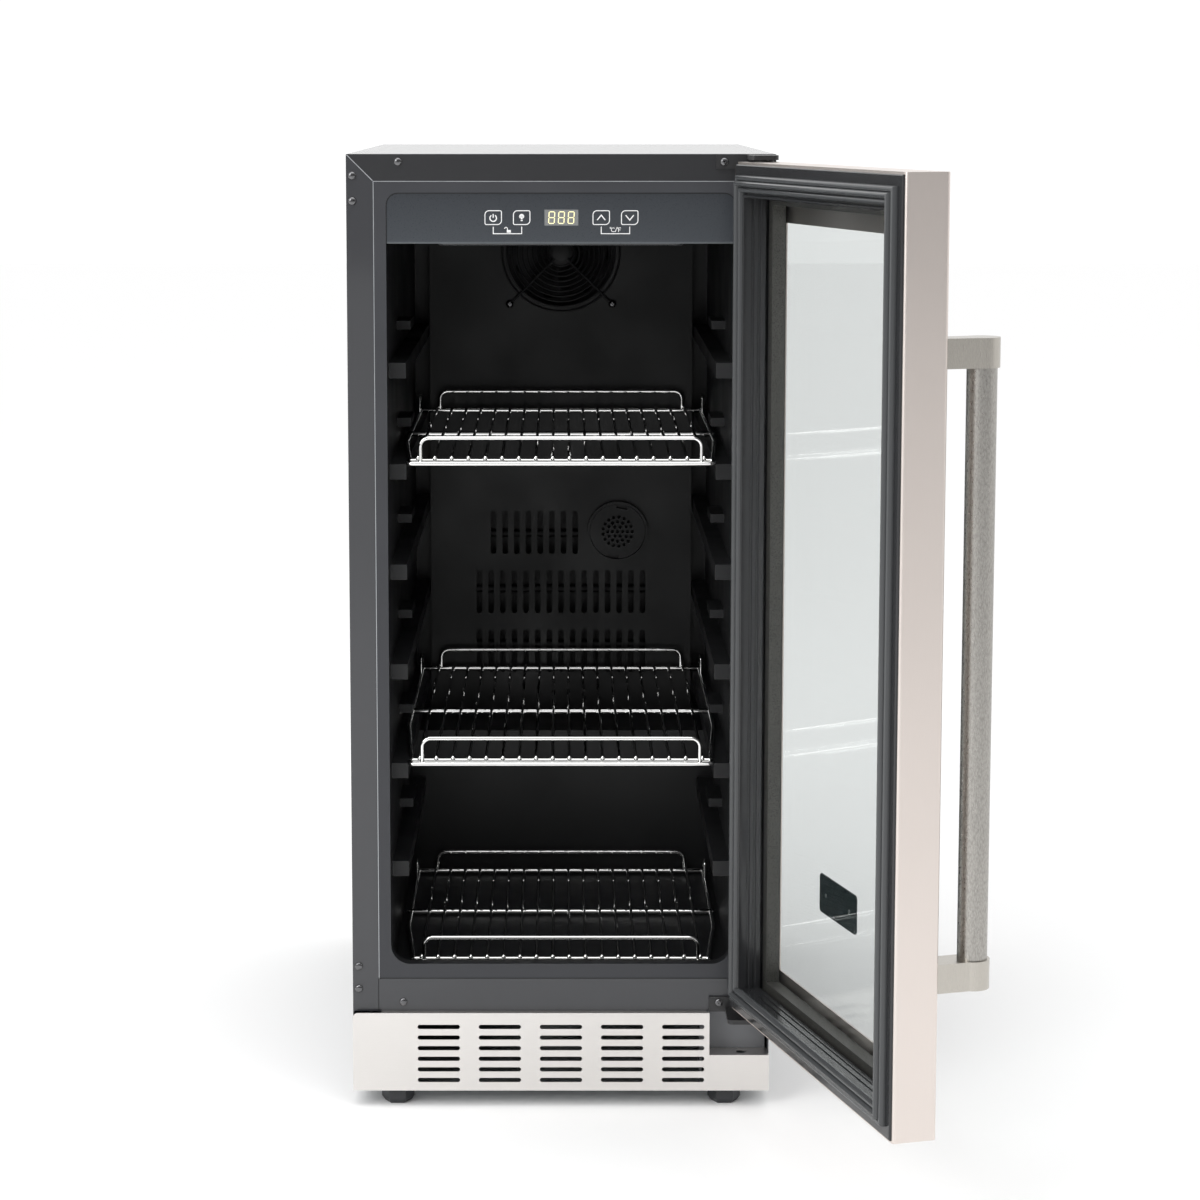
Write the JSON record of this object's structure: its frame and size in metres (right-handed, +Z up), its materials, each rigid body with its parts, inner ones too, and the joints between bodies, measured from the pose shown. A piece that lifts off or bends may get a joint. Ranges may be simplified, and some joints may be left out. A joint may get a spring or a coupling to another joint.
{
  "type": "glass door beverage cooler",
  "caption": "Built-in undercounter cooler with a hinged glass door, bar handle, wire shelves, touch control panel, rear air duct and slotted stainless kickplate.",
  "frame": {"origin": "on the floor under the middle of the cabinet body, without the door", "axes": "+Z up, -Y towards the user, +X to the right as the user sees it"},
  "size_m": [0.5299, 0.9641, 0.867],
  "materials": {
    "cabinet_paint": "satin charcoal powder coat",
    "galvanised_sheet": "galvanised",
    "foam": "rigid polyurethane foam",
    "liner_plastic": "moulded black satin",
    "stainless": "brushed stainless",
    "handle_steel": "etched stainless",
    "screw_dark": "black oxide",
    "hinge_black": "black coat",
    "fascia": "satin overlay",
    "display": "smoked window",
    "board": "circuit board",
    "lamp": "frosted lens",
    "duct_plastic": "black satin",
    "black_plastic": "moulded black",
    "aluminium": "mill finish",
    "copper": "drawn copper",
    "carbon": "activated carbon pad",
    "compressor_paint": "black enamel",
    "rubber": "matte",
    "zinc": "zinc plated",
    "door_plastic": "black extrusion",
    "gasket": "black magnetic gasket",
    "glass": "low-emissivity glass",
    "spacer": "desiccant spacer bar",
    "badge": "blank plate",
    "shelf_chrome": "bright chrome",
    "foot_plastic": "moulded black"
  },
  "bodies": {
    "cabinet": {"outer_wrapper": "cabinet_paint", "back_panel": "galvanised_sheet", "insulation_foam": "foam", "inner_liner": "liner_plastic", "front_rail": "cabinet_paint", "foam_tray": "galvanised_sheet", "base_pan": "galvanised_sheet", "kickplate": "stainless", "hinge_plugs": "screw_dark", "top_hinge_bracket": "hinge_black", "bottom_hinge_bracket": "hinge_black", "hinge_screws": "screw_dark", "hinge_support": "cabinet_paint", "control_housing": "liner_plastic", "control_fascia": "fascia", "display_window": "display", "control_board": "board", "led_strip": "lamp", "rear_duct_panel": "duct_plastic", "fan_grille": "duct_plastic", "panel_screws": "screw_dark", "evaporator_fan_motor": "black_plastic", "evaporator_coil": "aluminium", "filter_cartridge": "carbon", "compressor": "compressor_paint", "compressor_grommets": "rubber", "compressor_bolts": "zinc", "relay_box": "black_plastic", "condenser_fins": "aluminium", "condenser_tube": "copper", "condenser_fan_shroud": "galvanised_sheet", "condenser_fan_motor": "galvanised_sheet", "drip_tray": "black_plastic", "refrigerant_pipes": "copper", "machine_cover": "cabinet_paint", "cover_screws": "screw_dark", "cord_gland": "black_plastic", "foot_nuts": "zinc"},
    "door": {"door_frame": "stainless", "door_core": "foam", "door_liner": "door_plastic", "door_gasket": "gasket", "outer_glass": "glass", "inner_glass": "glass", "glass_spacer": "spacer", "handle_bar": "handle_steel", "handle_standoffs": "stainless", "handle_screws": "zinc", "hinge_bushes": "black_plastic", "badge_plate": "badge"},
    "shelf_top_body": {"shelf_top": "shelf_chrome"},
    "shelf_middle_body": {"shelf_middle": "shelf_chrome"},
    "shelf_bottom_body": {"shelf_bottom": "shelf_chrome"},
    "evaporator_fan_rotor_body": {"evaporator_fan_rotor": "black_plastic"},
    "condenser_fan_rotor_body": {"condenser_fan_rotor": "black_plastic"},
    "filter_cover_body": {"filter_cover": "duct_plastic"},
    "foot_front_left": {"levelling_foot_front_left": "foot_plastic"},
    "foot_front_right": {"levelling_foot_front_right": "foot_plastic"},
    "foot_rear_left": {"levelling_foot_rear_left": "foot_plastic"},
    "foot_rear_right": {"levelling_foot_rear_right": "foot_plastic"}
  },
  "joints": [
    {"name": "door_hinge", "type": "hinge", "parent": "cabinet", "child": "door", "pos_m": [0.177, -0.3125, 0.4795], "axis": [0, 0, 1], "range_deg": [-106.3, 20]},
    {"name": "shelf_top_slide", "type": "slide", "parent": "cabinet", "child": "shelf_top_body", "axis": [0, -1, 0], "range_m": [0, 0.22]},
    {"name": "shelf_middle_slide", "type": "slide", "parent": "cabinet", "child": "shelf_middle_body", "axis": [0, -1, 0], "range_m": [0, 0.22]},
    {"name": "shelf_bottom_lift", "type": "slide", "parent": "cabinet", "child": "shelf_bottom_body", "axis": [0, 0, 1], "range_m": [0, 0.04]},
    {"name": "evaporator_fan_spin", "type": "hinge", "parent": "cabinet", "child": "evaporator_fan_rotor_body", "pos_m": [0, 0.2315, 0.755], "axis": [0, 1, 0], "continuous": true},
    {"name": "condenser_fan_spin", "type": "hinge", "parent": "cabinet", "child": "condenser_fan_rotor_body", "pos_m": [0.027, 0.20725, 0.118], "axis": [1, 0, 0], "continuous": true},
    {"name": "filter_twist", "type": "hinge", "parent": "cabinet", "child": "filter_cover_body", "pos_m": [0.06, 0.2155, 0.46], "axis": [0, 1, 0], "range_deg": [0, 40]},
    {"name": "foot_front_left_height", "type": "slide", "parent": "cabinet", "child": "foot_front_left", "axis": [0, 0, -1], "range_m": [0, 0.02]},
    {"name": "foot_front_right_height", "type": "slide", "parent": "cabinet", "child": "foot_front_right", "axis": [0, 0, -1], "range_m": [0, 0.02]},
    {"name": "foot_rear_left_height", "type": "slide", "parent": "cabinet", "child": "foot_rear_left", "axis": [0, 0, -1], "range_m": [0, 0.02]},
    {"name": "foot_rear_right_height", "type": "slide", "parent": "cabinet", "child": "foot_rear_right", "axis": [0, 0, -1], "range_m": [0, 0.02]}
  ]
}
